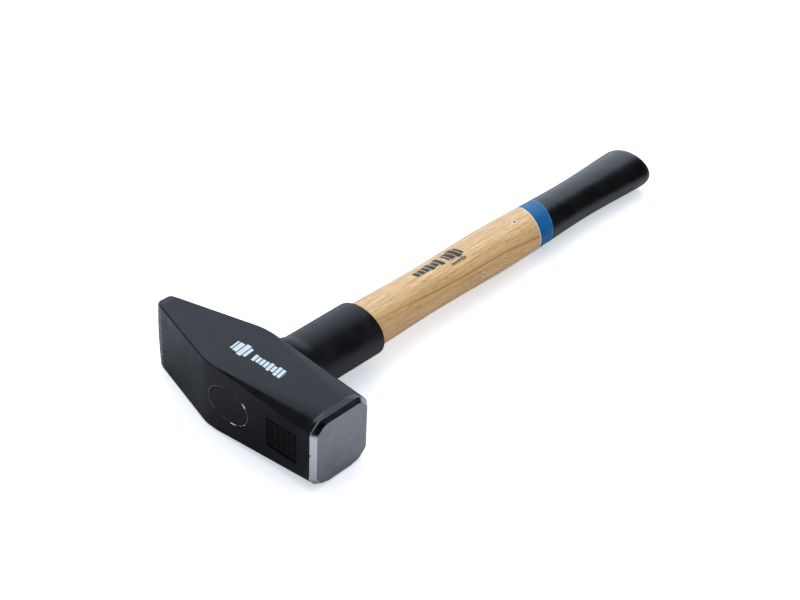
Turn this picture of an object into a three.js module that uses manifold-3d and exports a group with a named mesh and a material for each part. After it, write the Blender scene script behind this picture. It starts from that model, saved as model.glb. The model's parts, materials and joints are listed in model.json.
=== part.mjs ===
// Cross-pein sledge hammer of the German pattern: a forged head on an oval ash handle, held by a
// wooden wedge and a steel ring wedge, with a rubber guard collar below the head.
// Millimetres. In the hammer's own frame X runs from the pein to the striking face, Y from the
// head to the butt along the handle's axis, Z from cheek to cheek, with the origin in the eye.
import * as THREE from 'three';
import Module from 'manifold-3d';
import { ConvexGeometry } from 'three/addons/geometries/ConvexGeometry.js';
import { mergeVertices } from 'three/addons/utils/BufferGeometryUtils.js';

const wasm = await Module();
wasm.setup();

// ---- driving dimensions: head ----
const headWidth = 47;          // square section of the head, across the cheeks and along the handle
const faceReach = 68.2;        // eye centre to striking face
const peinReach = 85;          // eye centre to the crown of the pein
const peinRoot = 20;           // eye centre to where the pein starts to taper
const peinThickness = 12;      // thickness of the pein where its nose starts
const peinNoseDepth = 2.6;     // length of the rounded nose at the pein's working edge
const peinShift = 1.4;         // how far the working edge stands from the middle, towards the handle
const peinCrown = 1.2;         // how far the edge bows out at mid width
const bevelStart = 15;         // eye centre to where the long-edge bevels start, on the pein's side
const bevelAlongSide = 5.8;    // width of a long-edge bevel on the head's sides, at the face
const bevelAlongCheek = 7;     // the same, on the cheeks
const faceBevel = 3.2;         // ground bevel round the striking face, in width and in depth
const faceCornerShare = 0.6;   // how much of that width the face's cut corners lose
const cheekChamfer = 1.3;      // drop of each cheek just behind the ground bevel
const cheekChamferRun = 3.8;   // length of that drop
const stampWidth = 24.6;       // recessed stamp on the head's top, along the head
const stampHeight = 21;        // the same, across the head
const stampDepth = 1;
const stampFromFace = 13.2;    // striking face to the near side of the stamp

// ---- driving dimensions: eye and handle ----
const eyeLength = 33.6;        // eye at its mouths, along the head
const eyeWidth = 24;           // eye at its mouths, across the head
const eyeWaist = 0.8;          // how much narrower each wall of the eye stands at mid height
const handleLength = 400;      // top of the head to the butt
const neck = { x: 18.2, z: 14.6, run: 17 };         // half sizes, and run from the head's underside
const neckEnd = { x: 17.9, z: 14.4 };               // half sizes at the guard collar's mouth
const shaftWaist = { x: 17.1, z: 13.5, toButt: 232 };  // half sizes, and distance from the butt
const belly = { x: 18.9, z: 13.6, toButt: 155 };
const gripWaist = { x: 16.9, z: 12.4, toButt: 72 };
const buttSwell = { x: 19.7, z: 12.8, toButt: 7.6 };
const buttFace = { x: 17.4, z: 10.6 };

// ---- driving dimensions: guard collar ----
const collarLength = 64.2;
const collarMouth = { x: 21, z: 16.9 };             // outer half sizes where the wood comes out
const collarBody = { x: 20.1, z: 17.7 };            // outer half sizes just below the bead
const beadRise = 1.7;          // the bead next to the head stands this far above the collar
const beadLength = 13;
const beadCrest = 0.35;        // how far along its length the bead stands highest
const collarWallLeast = 1;     // thinnest wall of the collar

// ---- driving dimensions: wedges ----
const woodWedge = { top: 5.2, tip: 1.6, depth: 30 };
const sawCut = { width: 1.8, depth: 37 };
const ringWedge = { radius: 7, top: 2.4, tip: 0.9, depth: 15 };   // radius at the ring's mid wall

// ---- clearances ----
const fitGap = 0.3;            // between every two pieces that seat on each other
const cutThrough = 2;          // how far a cutting solid runs past the surface that it opens

// ---- fineness of the meshes ----
const ovalSides = 44;
const ringSides = 32;
const shaftSteps = 32;
const weldWithin = 1e-4;       // points closer than this are one point

const halfHead = headWidth / 2;
const headTop = -halfHead;
const underside = halfHead;
const buttEnd = headTop + handleLength;

// ---- solids ----
function toSolid(geometry) {
  const bare = new THREE.BufferGeometry();
  bare.setAttribute('position', geometry.getAttribute('position'));
  if (geometry.index) bare.setIndex(geometry.index);
  const merged = mergeVertices(bare, weldWithin);
  const vertProperties = new Float32Array(merged.attributes.position.array);
  const triVerts = new Uint32Array(merged.index.array);
  return new wasm.Manifold(new wasm.Mesh({ numProp: 3, vertProperties, triVerts }));
}

function toGeometry(solid) {
  const mesh = solid.getMesh();
  const geometry = new THREE.BufferGeometry();
  geometry.setAttribute('position', new THREE.BufferAttribute(mesh.vertProperties, 3));
  geometry.setIndex(new THREE.BufferAttribute(mesh.triVerts, 1));
  geometry.computeVertexNormals();
  return geometry;
}

// A solid of revolution about Y whose sections are ovals: each point holds the half size along X,
// the height along Y and the half size along Z. It is closed by flat ends at its first and last point.
function ovalSolid(points, sides = ovalSides) {
  const first = points[0];
  const last = points[points.length - 1];
  const profile = points.map((p) => new THREE.Vector2(p.x, p.y));
  profile.unshift(new THREE.Vector2(0, first.y));
  profile.push(new THREE.Vector2(0, last.y));
  const geometry = new THREE.LatheGeometry(profile, sides);
  const flatness = [first, ...points, last].map((p) => p.z / p.x);
  const position = geometry.getAttribute('position');
  for (let i = 0; i < position.count; i += 1) {
    position.setZ(i, position.getZ(i) * flatness[i % profile.length]);
  }
  return toSolid(geometry);
}

// A prism with its outline in the plane of Y and Z, centred on the head's middle along X.
function prismAlongX(outline, width) {
  const shape = new THREE.Shape(outline.map(([y, z]) => new THREE.Vector2(y, z)));
  const geometry = new THREE.ExtrudeGeometry(shape, { depth: width, bevelEnabled: false });
  geometry.translate(0, 0, -width / 2);
  const axes = new THREE.Matrix4().makeBasis(
    new THREE.Vector3(0, 1, 0),
    new THREE.Vector3(0, 0, 1),
    new THREE.Vector3(1, 0, 0),
  );
  geometry.applyMatrix4(axes);
  return toSolid(geometry);
}

function grown(points, by) {
  return points.map((p) => new THREE.Vector3(p.x + by, p.y, p.z + by));
}

// ---- hammer head ----
// The section at x: a rectangle with its four corners cut off.
function section(x, halfY, halfZ, cutY, cutZ) {
  const corners = [];
  for (const sideY of [-1, 1]) {
    for (const sideZ of [-1, 1]) {
      corners.push(new THREE.Vector3(x, sideY * halfY, sideZ * (halfZ - cutZ)));
      corners.push(new THREE.Vector3(x, sideY * (halfY - cutY), sideZ * halfZ));
    }
  }
  return corners;
}

// Share of its full width that a long-edge bevel has reached at x.
function bevelShare(x) {
  return (x + bevelStart) / (faceReach - faceBevel + bevelStart);
}

function peinNose() {
  const points = [];
  const crownSteps = 4;
  const noseSteps = 4;
  for (let row = -crownSteps; row <= crownSteps; row += 1) {
    const across = row / crownSteps;
    for (let step = -noseSteps; step <= noseSteps; step += 1) {
      const side = step / noseSteps;
      const x = -peinReach + peinCrown * across ** 2 + peinNoseDepth * Math.abs(side) ** 3;
      points.push(new THREE.Vector3(x, peinShift + side * peinThickness / 2, across * halfHead));
    }
  }
  return points;
}

function headBlank() {
  const rimX = faceReach - faceBevel;
  const chamferX = rimX - cheekChamferRun;
  const chamferShare = bevelShare(chamferX);
  const cornerCut = faceBevel * faceCornerShare;
  const points = [
    ...section(faceReach, halfHead - faceBevel, halfHead - cheekChamfer - faceBevel / 2,
      bevelAlongCheek - cornerCut, bevelAlongSide - cornerCut),
    ...section(rimX, halfHead, halfHead - cheekChamfer, bevelAlongCheek, bevelAlongSide),
    ...section(chamferX, halfHead, halfHead,
      bevelAlongCheek * chamferShare, bevelAlongSide * chamferShare),
    ...section(-bevelStart, halfHead, halfHead, 0, 0),
    ...section(-peinRoot, halfHead, halfHead, 0, 0),
    ...peinNose(),
  ];
  return toSolid(new ConvexGeometry(points));
}

// Half sizes of the eye from its top mouth to its lower one, narrowest at mid height.
function eyeOutline(inset) {
  const stations = [];
  const steps = 8;
  for (let i = 0; i <= steps; i += 1) {
    const y = headTop + (headWidth * i) / steps;
    const narrowing = eyeWaist * (1 - (y / halfHead) ** 2) + inset;
    stations.push(new THREE.Vector3(eyeLength / 2 - narrowing, y, eyeWidth / 2 - narrowing));
  }
  return stations;
}

// The eye's hollow, run out past both mouths.
function eyeCutter() {
  const wall = eyeOutline(0);
  const above = wall[0].clone().setY(headTop - cutThrough);
  const below = wall[wall.length - 1].clone().setY(underside + cutThrough);
  return ovalSolid([above, ...wall, below]);
}

function stampCutter() {
  const depth = stampDepth + cutThrough;
  const geometry = new THREE.BoxGeometry(stampWidth, depth, stampHeight);
  geometry.translate(faceReach - stampFromFace - stampWidth / 2, headTop + stampDepth - depth / 2, 0);
  return toSolid(geometry);
}

function hammerHead() {
  return headBlank().subtract(eyeCutter()).subtract(stampCutter());
}

// ---- handle ----
function halfSizes(size, y) {
  return new THREE.Vector3(size.x, y, size.z);
}

// The tenon stands a clearance inside the eye's wall, from the head's top to its underside.
const tenonOutline = eyeOutline(fitGap);
const tenonFoot = tenonOutline[tenonOutline.length - 1];

function gripOutline() {
  const swell = halfSizes(buttSwell, buttEnd - buttSwell.toButt);
  const stations = [
    tenonFoot,
    halfSizes(neck, underside + neck.run),
    halfSizes(neckEnd, underside + collarLength),
    halfSizes(shaftWaist, buttEnd - shaftWaist.toButt),
    halfSizes(belly, buttEnd - belly.toButt),
    halfSizes(gripWaist, buttEnd - gripWaist.toButt),
    swell,
  ];
  stations.sort((a, b) => a.y - b.y);
  const shaft = new THREE.CatmullRomCurve3(stations, false, 'centripetal').getPoints(shaftSteps);
  const rim = [];
  const rimSteps = 4;
  for (let i = 1; i <= rimSteps; i += 1) {
    const turn = (i / rimSteps) * (Math.PI / 2);
    const fall = 1 - Math.cos(turn);
    rim.push(new THREE.Vector3(
      swell.x - (swell.x - buttFace.x) * fall,
      swell.y + buttSwell.toButt * Math.sin(turn),
      swell.z - (swell.z - buttFace.z) * fall,
    ));
  }
  return [...shaft, ...rim];
}

const grip = gripOutline();

// A tapered slot or slab across the whole tenon, from the head's top downwards.
function taperedSlab({ top, tip, depth }, grow, lift) {
  const y0 = headTop - lift;
  const slope = (top - tip) / depth;
  const half0 = (top + slope * lift) / 2 + grow;
  const half1 = tip / 2 + grow;
  const y1 = headTop + depth;
  return prismAlongX([[y0, -half0], [y1, -half1], [y1, half1], [y0, half0]], eyeLength + cutThrough);
}

// The ring wedge's own shape, or the groove for it when it is grown and lifted past the head's top.
function ringSolid(grow, lift) {
  const { radius, top, tip, depth } = ringWedge;
  const y0 = headTop - lift;
  const y1 = headTop + depth + grow;
  const profile = [
    new THREE.Vector2(radius - top / 2 - grow, y0),
    new THREE.Vector2(radius + top / 2 + grow, y0),
    new THREE.Vector2(radius + tip / 2 + grow, y1),
    new THREE.Vector2(radius - tip / 2 - grow, y1),
    new THREE.Vector2(radius - top / 2 - grow, y0),
  ];
  return toSolid(new THREE.LatheGeometry(profile, ringSides));
}

function sawCutSolid() {
  const half = sawCut.width / 2;
  const y0 = headTop + woodWedge.depth - cutThrough;
  const y1 = headTop + sawCut.depth;
  return prismAlongX([[y0, -half], [y1, -half], [y1, half], [y0, half]], eyeLength + cutThrough);
}

function handle() {
  return ovalSolid([...tenonOutline, ...grip.slice(1)])
    .subtract(taperedSlab(woodWedge, fitGap, cutThrough))
    .subtract(sawCutSolid())
    .subtract(ringSolid(fitGap, cutThrough));
}

function woodenWedge() {
  return taperedSlab(woodWedge, 0, 0)
    .intersect(ovalSolid(tenonOutline))
    .subtract(ringSolid(fitGap, cutThrough));
}

// ---- guard collar ----
function collarOutline() {
  const start = underside + fitGap;
  const end = underside + collarLength;
  const points = [];
  const beadSteps = 8;
  for (let i = 0; i < beadSteps; i += 1) {
    const along = i / beadSteps;
    const fromCrest = (along - beadCrest) / (1 - beadCrest);
    const rise = beadRise * Math.cos(fromCrest * (Math.PI / 2));
    points.push(new THREE.Vector3(collarBody.x + rise, start + along * beadLength, collarBody.z + rise));
  }
  points.push(new THREE.Vector3(collarBody.x, start + beadLength, collarBody.z));
  points.push(new THREE.Vector3(collarMouth.x, end, collarMouth.z));
  return points;
}

// The bore follows the handle from the head's underside past the collar's mouth.
function collarBore() {
  const run = grip.filter((p) => p.y < buttEnd - buttSwell.toButt);
  return grown([tenonFoot.clone().setY(underside - cutThrough), ...run], fitGap);
}

// The outer wall stands out far enough to keep its least thickness over the handle.
function guardCollar() {
  const bore = collarBore();
  const covered = bore.filter((p) => p.y < underside + collarLength);
  const spare = Math.min(
    collarMouth.x - Math.max(...covered.map((p) => p.x)),
    collarMouth.z - Math.max(...covered.map((p) => p.z)),
  );
  const outer = grown(collarOutline(), Math.max(0, collarWallLeast - spare));
  return ovalSolid(outer).subtract(ovalSolid(bore));
}

// ---- assembly ----
function piece(name, solid, color, roughness, metalness) {
  const material = new THREE.MeshStandardMaterial({ color, roughness, metalness });
  const mesh = new THREE.Mesh(toGeometry(solid), material);
  mesh.name = name;
  return mesh;
}

// The hammer lies on its lower cheek: it leans about X until the butt meets the floor too.
function restingLean() {
  const reach = [...grip, ...collarOutline()].filter((p) => p.y > underside);
  return Math.min(...reach.map((p) => Math.atan2(halfHead - p.z, p.y - underside)));
}

const hammer = new THREE.Group();
hammer.add(piece('hammer_head', hammerHead(), 0x26282d, 0.5, 0.2));
hammer.add(piece('handle', handle(), 0xc89a66, 0.55, 0));
hammer.add(piece('wood_wedge', woodenWedge(), 0xa9845a, 0.7, 0));
hammer.add(piece('ring_wedge', ringSolid(0, 0), 0x8c9096, 0.35, 1));
hammer.add(piece('guard_collar', guardCollar(), 0x1c1d20, 0.75, 0));
hammer.rotation.x = -restingLean();

const part = new THREE.Group();
part.add(hammer);
part.updateMatrixWorld(true);
const bounds = new THREE.Box3().setFromObject(part, true);
const middle = bounds.getCenter(new THREE.Vector3());
hammer.position.set(-middle.x, -middle.y, -bounds.min.z);

export default part;
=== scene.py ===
import json
import math

import bmesh
import bpy
from mathutils import Matrix, Vector, noise
from mathutils.geometry import interpolate_bezier


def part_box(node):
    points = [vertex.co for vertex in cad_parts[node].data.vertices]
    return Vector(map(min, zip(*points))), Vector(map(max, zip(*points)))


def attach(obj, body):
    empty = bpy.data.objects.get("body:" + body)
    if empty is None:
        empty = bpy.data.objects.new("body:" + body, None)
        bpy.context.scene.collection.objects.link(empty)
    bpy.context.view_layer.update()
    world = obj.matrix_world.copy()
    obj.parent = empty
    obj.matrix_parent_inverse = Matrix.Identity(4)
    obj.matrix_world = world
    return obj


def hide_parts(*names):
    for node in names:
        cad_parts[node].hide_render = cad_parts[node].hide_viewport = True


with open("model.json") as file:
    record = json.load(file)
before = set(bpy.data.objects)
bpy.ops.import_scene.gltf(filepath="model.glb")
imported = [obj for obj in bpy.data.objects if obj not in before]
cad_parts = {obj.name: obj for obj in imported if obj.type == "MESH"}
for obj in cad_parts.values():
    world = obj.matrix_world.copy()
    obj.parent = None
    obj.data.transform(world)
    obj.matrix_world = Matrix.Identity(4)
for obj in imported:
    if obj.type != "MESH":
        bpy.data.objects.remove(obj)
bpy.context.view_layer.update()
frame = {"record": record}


# ---- How the hammer lies ----
# The hammer rests on one cheek and on its butt, so it leans a little. Every piece is made in
# millimetres in the hammer's own frame, X from pein to face, Y from head to butt and Z from cheek
# to cheek with the origin in the eye, and is then laid down as it rests.

mounts = {mount["name"]: mount for mount in frame["record"]["mounts"]}
ring_low, ring_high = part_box("ring_wedge")
eye_centre = Vector(mounts["striking_face"]["pos_m"])
eye_centre.x = (ring_low.x + ring_high.x) / 2
lean = math.asin(mounts["upper_cheek"]["axis"][1])
laid_down = Matrix.Translation(eye_centre) @ Matrix.Rotation(-lean, 4, "X")
millimetre = 0.001
usual_crease = 38


def make_object(name, bm):
    mesh = bpy.data.meshes.new(name)
    bm.to_mesh(mesh)
    bm.free()
    piece = bpy.data.objects.new(name, mesh)
    bpy.context.scene.collection.objects.link(piece)
    return piece


def finish_piece(name, bm, finishes, node, crease=usual_crease):
    """Lays the piece down, smooths it between its creases and lets it stand for its CAD node."""
    bm.transform(laid_down @ Matrix.Scale(millimetre, 4))
    for face in bm.faces:
        face.smooth = True
    for edge in bm.edges:
        edge.smooth = edge.calc_face_angle(0) < math.radians(crease)
    piece = make_object(name, bm)
    for finish in finishes:
        piece.data.materials.append(finish)
    weighted = piece.modifiers.new("flat faces stay flat", "WEIGHTED_NORMAL")
    weighted.keep_sharp = True
    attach(piece, "root")
    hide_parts(node)


def combine(bm, tool, operation):
    """The solid in bm after a Boolean with the solid in tool."""
    body, other = make_object("body", bm), make_object("tool", tool)
    step = body.modifiers.new("cut", "BOOLEAN")
    step.operation = operation
    step.solver = "EXACT"
    step.object = other
    result = bmesh.new()
    result.from_object(body, bpy.context.evaluated_depsgraph_get())
    for used in (body, other):
        mesh = used.data
        bpy.data.objects.remove(used)
        bpy.data.meshes.remove(mesh)
    return result


def put(tree, kind, inputs=None, **settings):
    """A shader node with its settings, its inputs linked or set."""
    made = tree.nodes.new("ShaderNode" + kind)
    for key, value in settings.items():
        setattr(made, key, value)
    for key, value in (inputs or {}).items():
        if isinstance(value, bpy.types.NodeSocket):
            tree.links.new(value, made.inputs[key])
        else:
            made.inputs[key].default_value = value
    return made


def calc(tree, operation, *values):
    return put(tree, "Math", dict(enumerate(values)), operation=operation).outputs[0]


def fold(tree, operation, first, *others):
    """One operation run through several values, from the left."""
    for other in others:
        first = calc(tree, operation, first, other)
    return first


def product(tree, *values):
    return fold(tree, "MULTIPLY", *values)


def ease(tree, value, low, high, at_low=0.0, at_high=1.0):
    """A soft step of value from low to high."""
    limits = {"From Min": low, "From Max": high, "To Min": at_low, "To Max": at_high}
    step = put(tree, "MapRange", {"Value": value, **limits}, interpolation_type="SMOOTHSTEP")
    return step.outputs[0]


def mix(tree, share, first, second):
    """A blend of two colors; the numbers are the color sockets of the node."""
    return put(tree, "Mix", {0: share, 6: first, 7: second}, data_type="RGBA").outputs[2]


def stain(tree, color, mask, strength, over):
    """A color with another laid over it where the mask is, at some strength."""
    return mix(tree, product(tree, mask, strength), color, over)


def stretched(tree, vector, scale):
    return put(tree, "Mapping", {"Vector": vector, "Scale": scale}).outputs[0]


def cloud(tree, vector, scale, detail=3.0, rough=0.5):
    inputs = {"Vector": vector, "Scale": scale, "Detail": detail, "Roughness": rough}
    return put(tree, "TexNoise", inputs).outputs[0]


def effect(name, inputs, outputs):
    """An empty node group with its sockets; returns it with its input and output sockets."""
    group = bpy.data.node_groups.new(name, "ShaderNodeTree")
    for label, kind, value in inputs:
        socket = group.interface.new_socket(label, in_out="INPUT", socket_type="NodeSocket" + kind)
        if value is not None:
            socket.default_value = value
    for label, kind in outputs:
        group.interface.new_socket(label, in_out="OUTPUT", socket_type="NodeSocket" + kind)
    given = group.nodes.new("NodeGroupInput").outputs
    return group, given, group.nodes.new("NodeGroupOutput").inputs


def apply_effect(tree, group, **inputs):
    return put(tree, "Group", inputs, node_tree=group).outputs


def mask_of(tree, group, place, **inputs):
    return apply_effect(tree, group, Vector=place, **inputs)["Mask"]


def new_finish(name, **shader_numbers):
    """A material with a bare shader, and the place on the hammer in millimetres."""
    material = bpy.data.materials.new(name)
    material.use_nodes = True
    tree = material.node_tree
    shader = tree.nodes["Principled BSDF"]
    for label, value in shader_numbers.items():
        shader.inputs[label.replace("_", " ")].default_value = value
    inputs = {
        "Vector": put(tree, "TexCoord").outputs["Object"],
        "Location": eye_centre,
        "Rotation": (-lean, 0, 0),
        "Scale": (millimetre,) * 3,
    }
    place = put(tree, "Mapping", inputs, vector_type="TEXTURE").outputs[0]
    return material, tree, shader, place


def grey(value):
    return (value, value, value, 1)


# ---- Forged head ----
# A steel forging of square section with a cross pein, a tapered oval eye and a recessed stamp.
# It is dipped in black paint, and the striking face and the bevel round it are ground bare.

half_head = 23.5
ground_from = 65.0
face_reach = 68.2
pein_reach = 85.0
pein_nose = 2.6
pein_sides = {-1: -4.6, 1: 7.4}
root_bend = 5.0
root_at = -20.0
bevel_from = -15.0
rim_top = 22.2
rim_bottom = -23.3
bevel_side = 16.4
bevel_cheek = 16.5
least_bevel_cheek = 18.5
bevel_rounding = {-1: 1.8, 1: 3.0}
chamfer_from = 61.2
edge_radius = 0.8
head_crease = 12.5
snug = 0.01
PAINT, STEEL = 0, 1


def whole(bm):
    return bm.verts[:] + bm.edges[:] + bm.faces[:]


def flat_cut(bm, a, b, c):
    """Takes off what stands outside the plane through three points, and closes the cut."""
    a, b, c = Vector(a), Vector(b), Vector(c)
    outward = (b - a).cross(c - a).normalized()
    if outward.dot(a) < 0:
        outward = -outward
    cut = bmesh.ops.bisect_plane(
        bm, geom=whole(bm), dist=1e-4, plane_co=a, plane_no=outward, clear_outer=True
    )
    rim = [part for part in cut["geom_cut"] if isinstance(part, bmesh.types.BMEdge)]
    bmesh.ops.contextual_create(bm, geom=rim)


def scored(bm, geom, point, normal):
    """Cuts the faces along a plane, so that they can bend there."""
    bmesh.ops.bisect_plane(bm, geom=geom, dist=1e-4, plane_co=point, plane_no=normal)


def soften(bm, edges, radius, segments):
    bmesh.ops.bevel(
        bm,
        geom=edges,
        offset=radius,
        offset_type="OFFSET",
        segments=segments,
        profile=0.5,
        affect="EDGES",
        material=-1,
        clamp_overlap=False,
    )


def cut_long_bevel(bm, side_y, side_z):
    """A bevel that grows from nothing to the face's rim, with a rounded edge on each side.
    One of the four is narrower on its cheek than the others."""
    start = Vector((bevel_from, side_y * half_head, side_z * half_head))
    on_side = Vector((ground_from, side_y * half_head, side_z * bevel_side))
    across = least_bevel_cheek if side_y == side_z == -1 else bevel_cheek
    on_cheek = Vector((ground_from, side_y * across, side_z * rim_top))
    flat_cut(bm, start, on_side, on_cheek)
    reach = bevel_rounding[side_z]
    along_bevel = (on_cheek - on_side).normalized() * reach
    down_side = Vector((0, 0, -side_z)) * reach
    over_cheek = Vector((0, -side_y, 0)) * reach
    for corner, before, after in (
        (on_side, down_side, along_bevel),
        (on_cheek, -along_bevel, over_cheek),
    ):
        for share in (0.5, 0.25, 0.75):
            a = corner + before * (1 - share)
            b = corner + after * share
            flat_cut(bm, start, a, b)


def forged_blank():
    bm = bmesh.new()
    bmesh.ops.create_cube(bm, size=2 * half_head)
    length = pein_reach + ground_from
    bmesh.ops.scale(bm, vec=(length / (2 * half_head), 1, 1), verts=bm.verts)
    bmesh.ops.translate(bm, vec=(length / 2 - pein_reach, 0, 0), verts=bm.verts)
    nose_at = pein_nose - pein_reach
    for side, tip in pein_sides.items():
        edge = side * half_head
        flat_cut(bm, (root_at, edge, 0), (root_at, edge, 1), (nose_at, tip, 0))
        slope = math.atan2(half_head - side * tip, root_at - nose_at)
        bend_radius = root_bend / math.tan(slope / 2)
        for share in (0.2, 0.4, 0.6, 0.8):
            turn = slope * share
            x = root_at + root_bend - bend_radius * math.sin(turn)
            y = side * (half_head - bend_radius * (1 - math.cos(turn)))
            flat_cut(bm, (x, y, 0), (x, y, 1), (x - math.cos(turn), y - side * math.sin(turn), 0))
    for side_y in (-1, 1):
        for side_z in (-1, 1):
            cut_long_bevel(bm, side_y, side_z)
    for cheek, rim in ((half_head, rim_top), (-half_head, rim_bottom)):
        flat_cut(bm, (chamfer_from, 0, cheek), (chamfer_from, 1, cheek), (ground_from, 0, rim))
    return bm


def ends_of(edge):
    """The two ends of an edge."""
    return [vert.co for vert in edge.verts]


def round_off(bm):
    """Rounds the pein's nose, and then its outline on both cheeks."""
    nose = [
        edge
        for edge in bm.edges
        if all(p.x < -pein_reach + snug for p in ends_of(edge))
        and abs(edge.verts[0].co.z - edge.verts[1].co.z) > 1
    ]
    soften(bm, nose, pein_nose, 9)
    outline = [
        edge
        for edge in bm.edges
        if all(abs(p.z) > half_head - snug and p.x < bevel_from + 0.1 for p in ends_of(edge))
    ]
    soften(bm, outline, edge_radius, 8)


forging = forged_blank()
round_off(forging)

# The end of the forging is drawn out into the ground bevel and the flat striking face.
end_face = max(forging.faces, key=lambda face: face.calc_center_median().x)
drawn = bmesh.ops.extrude_discrete_faces(forging, faces=[end_face])["faces"][0]
ground_depth = face_reach - ground_from
face_half_y = 20.3
face_top, face_bottom = 20.6, -22.0
ground_edge_radius = 0.18
end_verts = list(drawn.verts)
rim_height, face_height = rim_top - rim_bottom, face_top - face_bottom
rim_middle, face_middle = (rim_top + rim_bottom) / 2, (face_top + face_bottom) / 2
bmesh.ops.translate(forging, vec=(ground_depth, 0, -rim_middle), verts=end_verts)
shrink = (1, face_half_y / half_head, face_height / rim_height)
bmesh.ops.scale(forging, vec=shrink, verts=end_verts)
bmesh.ops.translate(forging, vec=(0, 0, face_middle), verts=end_verts)
ground_edges = [
    edge
    for edge in forging.edges
    if all(p.x > ground_from - snug for p in ends_of(edge))
    and abs(edge.verts[0].co.x - edge.verts[1].co.x) < 0.1
]
soften(forging, ground_edges, ground_edge_radius, 2)

# The working edge of the pein bows out a little and is dressed by hand, so it isn't quite even.
bow_from = -78.0
bow = 1.2
unevenness = 0.12
long_waves, short_waves = 0.45, 1.3
nose_slices = 30


def nose_parts(bm):
    faces = [face for face in bm.faces if face.calc_center_median().x < bow_from]
    edges = {edge for face in faces for edge in face.edges}
    verts = {vert for face in faces for vert in face.verts}
    return faces + list(edges) + list(verts)


def from_0_to_1(value):
    return min(1.0, max(0.0, value))


scored(forging, whole(forging), (bow_from, 0, 0), (1, 0, 0))
for number in range(1, nose_slices):
    z = half_head * (2 * number / nose_slices - 1)
    scored(forging, nose_parts(forging), (0, 0, z), (0, 0, 1))
for vert in forging.verts:
    share = from_0_to_1((bow_from - vert.co.x) / (pein_reach - abs(bow_from)))
    uneven = unevenness * noise.noise(vert.co * long_waves)
    uneven += unevenness / 2 * noise.noise(vert.co * short_waves)
    bowed = vert.co.x + share * (bow * (vert.co.z / half_head) ** 2 + abs(uneven))
    vert.co.x = max(bowed, -pein_reach)

# The eye narrows towards its middle, and its mouths have a small flare.
eye_half = Vector((16.8, 0, 12.0))
eye_waist = 0.8
mouth_flare = 0.22
oval_sides = 96


def eye_wall(inset):
    """Stations along the eye's wall, or along a surface set in from it."""
    stations = []
    for step in range(-6, 7):
        y = half_head * step / 6
        narrow = eye_waist * (1 - (y / half_head) ** 2) + inset
        stations.append(Vector((eye_half.x - narrow, y, eye_half.z - narrow)))
    return stations


def oval_tube(stations, closed=False):
    """A tube of ovals along Y: each station holds a half size, a place along Y, a half size."""
    bm = bmesh.new()
    start = stations[0]
    ring = bmesh.ops.create_circle(bm, segments=oval_sides, radius=1)["verts"]
    turn = Matrix.Rotation(math.pi / 2, 3, "X")
    bmesh.ops.rotate(bm, verts=ring, cent=(0, 0, 0), matrix=turn)
    bmesh.ops.scale(bm, vec=(start.x, 1, start.z), verts=ring)
    bmesh.ops.translate(bm, vec=(0, start.y, 0), verts=ring)
    first = edges = bm.edges[:]
    for last, now in zip(stations, stations[1:]):
        made = bmesh.ops.extrude_edge_only(bm, edges=edges)["geom"]
        ring = {part for part in made if isinstance(part, bmesh.types.BMVert)}
        edges = [
            part
            for part in made
            if isinstance(part, bmesh.types.BMEdge) and ring.issuperset(part.verts)
        ]
        bmesh.ops.scale(bm, vec=(now.x / last.x, 1, now.z / last.z), verts=list(ring))
        bmesh.ops.translate(bm, vec=(0, now.y - last.y, 0), verts=list(ring))
    if closed:
        bmesh.ops.bridge_loops(bm, edges=first + edges)
    else:
        bmesh.ops.contextual_create(bm, geom=first)
        bmesh.ops.contextual_create(bm, geom=edges)
    bmesh.ops.recalc_face_normals(bm, faces=bm.faces)
    return bm


def eye_cutter():
    wall = eye_wall(0)
    wall[0].y += mouth_flare
    wall[-1].y -= mouth_flare
    out = 2.0
    mouth = Vector((eye_half.x + mouth_flare + out, 0, eye_half.z + mouth_flare + out))
    above, below = mouth.copy(), mouth.copy()
    above.y, below.y = -half_head - out, half_head + out
    return oval_tube([above, *wall, below])


# The stamp is a rectangular recess whose floor carries rows of low plain pads.
stamp_size = Vector((24.6, 21.0))
stamp_depth = 1.0
stamp_middle = face_reach - 13.2 - stamp_size.x / 2
stamp_columns, stamp_rows = 15, 13
stamp_draft = 0.8
stamp_rim_radius = 0.22
pad_rise = 0.5
pad_inset = 0.18


def stamp_cutter():
    bm = bmesh.new()
    bmesh.ops.create_grid(bm, x_segments=stamp_columns, y_segments=stamp_rows, size=0.5)
    floor_size = [size - stamp_draft for size in stamp_size]
    bmesh.ops.scale(bm, vec=(*floor_size, 1), verts=bm.verts)
    floor_faces = bm.faces[:]
    cell = Vector((stamp_size.x / stamp_columns, stamp_size.y / stamp_rows))
    made = bmesh.ops.extrude_face_region(bm, geom=floor_faces, use_keep_orig=True)["geom"]
    lid = [part for part in made if isinstance(part, bmesh.types.BMVert)]
    high = stamp_depth + 0.6
    bmesh.ops.translate(bm, vec=(0, 0, high), verts=lid)
    draft = [size / (size - stamp_draft) for size in stamp_size]
    bmesh.ops.scale(bm, vec=(*draft, 1), verts=lid)
    pads = []
    for face in bm.faces:
        middle = face.calc_center_median()
        if middle.z < 0.01:
            column = int((middle.x + stamp_size.x / 2) / cell.x)
            row = int((middle.y + stamp_size.y / 2) / cell.y)
            inside = 0 < column < stamp_columns - 1 and column % 3 and row % 4
            if inside and (7 * column + 5 * row + column * row) % 4:
                pads.append(face)
    bmesh.ops.inset_individual(bm, faces=pads, thickness=pad_inset, use_even_offset=True)
    pad_verts = list({vert for face in pads for vert in face.verts})
    bmesh.ops.translate(bm, vec=(0, 0, pad_rise), verts=pad_verts)
    bmesh.ops.recalc_face_normals(bm, faces=bm.faces)
    bm.transform(Matrix.Rotation(math.pi / 2, 4, "X"))
    bm.transform(Matrix.Translation((stamp_middle, stamp_depth - half_head, 0)))
    return bm


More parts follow.
